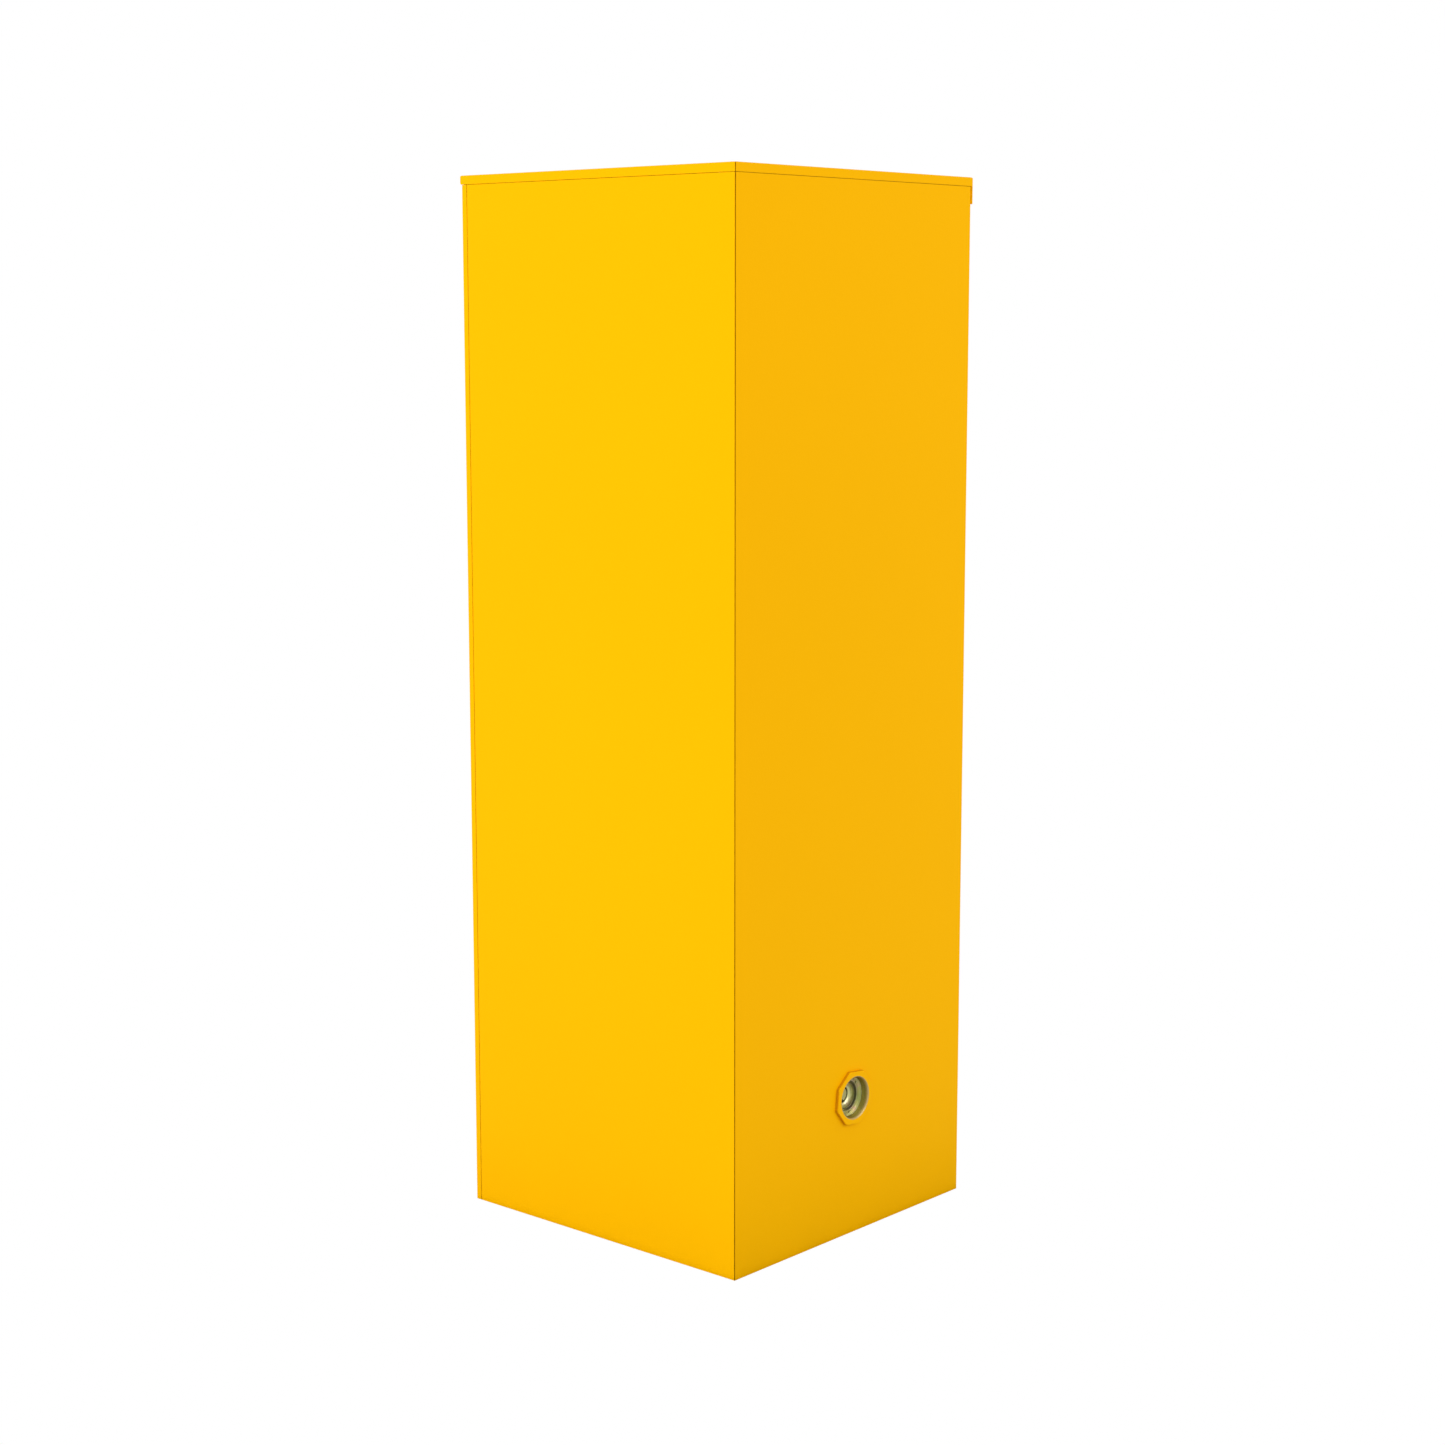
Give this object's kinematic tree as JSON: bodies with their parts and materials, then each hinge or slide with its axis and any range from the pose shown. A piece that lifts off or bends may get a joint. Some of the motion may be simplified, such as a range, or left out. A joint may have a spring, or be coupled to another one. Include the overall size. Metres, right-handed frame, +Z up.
{
  "type": "retractable bollard",
  "caption": "Square steel bollard that slides down on a gas spring into a casing in the ground, held up by a key lock at its foot.",
  "frame": {"origin": "centre of the ground frame's anchor holes at its top face, which is ground level, on the post's axis", "axes": "+Z up along the post's travel; -Y is the lock's face and +X is to its right"},
  "size_m": [0.32, 0.32, 1.353],
  "materials": {
    "yellow_coat": "traffic-yellow powder coat, satin, fine orange peel",
    "galvanised": "hot-dip galvanised steel, matt grey with spangle",
    "stainless": "plain stainless steel, satin",
    "chromated": "yellow chromated zinc plating with a pink and green sheen",
    "chrome": "hard chromed and polished rod",
    "black_paint": "black baked paint, semi-gloss",
    "nylon": "natural cast nylon, matt",
    "rubber": "black moulded rubber, matt"
  },
  "bodies": {
    "casing": {"ground_frame": "galvanised", "collar_plate": "galvanised", "collar_screws": "stainless", "wiper_seal": "rubber", "casing_shell": "galvanised", "base_plate": "galvanised", "anchor_lugs": "galvanised", "drain_spigot": "galvanised", "guide_strips": "nylon", "guide_screws": "stainless", "stop_blocks": "galvanised", "stop_pads": "rubber", "upper_keeper": "galvanised", "keeper_boxes": "galvanised", "bottom_buffers": "rubber", "spring_foot": "galvanised", "lower_pin": "chromated", "gas_cylinder": "black_paint", "cylinder_gland": "stainless"},
    "post": {"front_shell": "yellow_coat", "left_plate": "yellow_coat", "back_plate": "yellow_coat", "corner_angles": "galvanised", "foot_ring": "galvanised", "foot_shoes": "nylon", "lid": "yellow_coat", "lid_screws": "stainless", "lid_tabs": "galvanised", "handle_pan": "yellow_coat", "spring_beam": "galvanised", "upper_pin": "chromated", "piston_rod": "chrome", "piston": "stainless", "lock_collar": "yellow_coat", "lock_nut": "chromated", "retaining_ring": "chromated", "lock_barrel": "chromated", "bolt_guide": "galvanised", "bar_guides": "galvanised"},
    "plug": {"key_plug": "chromated", "drive_crank": "chromated"},
    "bar": {"bolt_bar": "galvanised"},
    "bolt": {"lock_bolt": "stainless", "bolt_pin": "stainless"},
    "handle": {"lifting_handle": "stainless"}
  },
  "joints": [
    {"name": "lift", "type": "slide", "parent": "casing", "child": "post", "axis": [0, 0, 1], "range_m": [-0.595, 0], "stiffness_N_per_m": 118, "springref_m": 1.95},
    {"name": "bar_slide", "type": "slide", "parent": "post", "child": "bar", "axis": [0, 0, 1], "range_m": [-0.02121, 0]},
    {"name": "key_turn", "type": "hinge", "parent": "post", "child": "plug", "pos_m": [0, -0.1045, 0.0805], "axis": [0, 1, 0], "range_deg": [0, 90]},
    {"name": "bolt_throw", "type": "slide", "parent": "post", "child": "bolt", "axis": [0, -1, 0], "range_m": [0, 0.0213]},
    {"name": "handle_swing", "type": "hinge", "parent": "post", "child": "handle", "pos_m": [0, 0.014, 0.59], "axis": [-1, 0, 0], "range_deg": [0, 90]}
  ],
  "couplings": [
    {"joint": "key_turn", "follows": "bar_slide", "rad_per_m": -74.04},
    {"joint": "bolt_throw", "follows": "bar_slide", "ratio": -1}
  ]
}
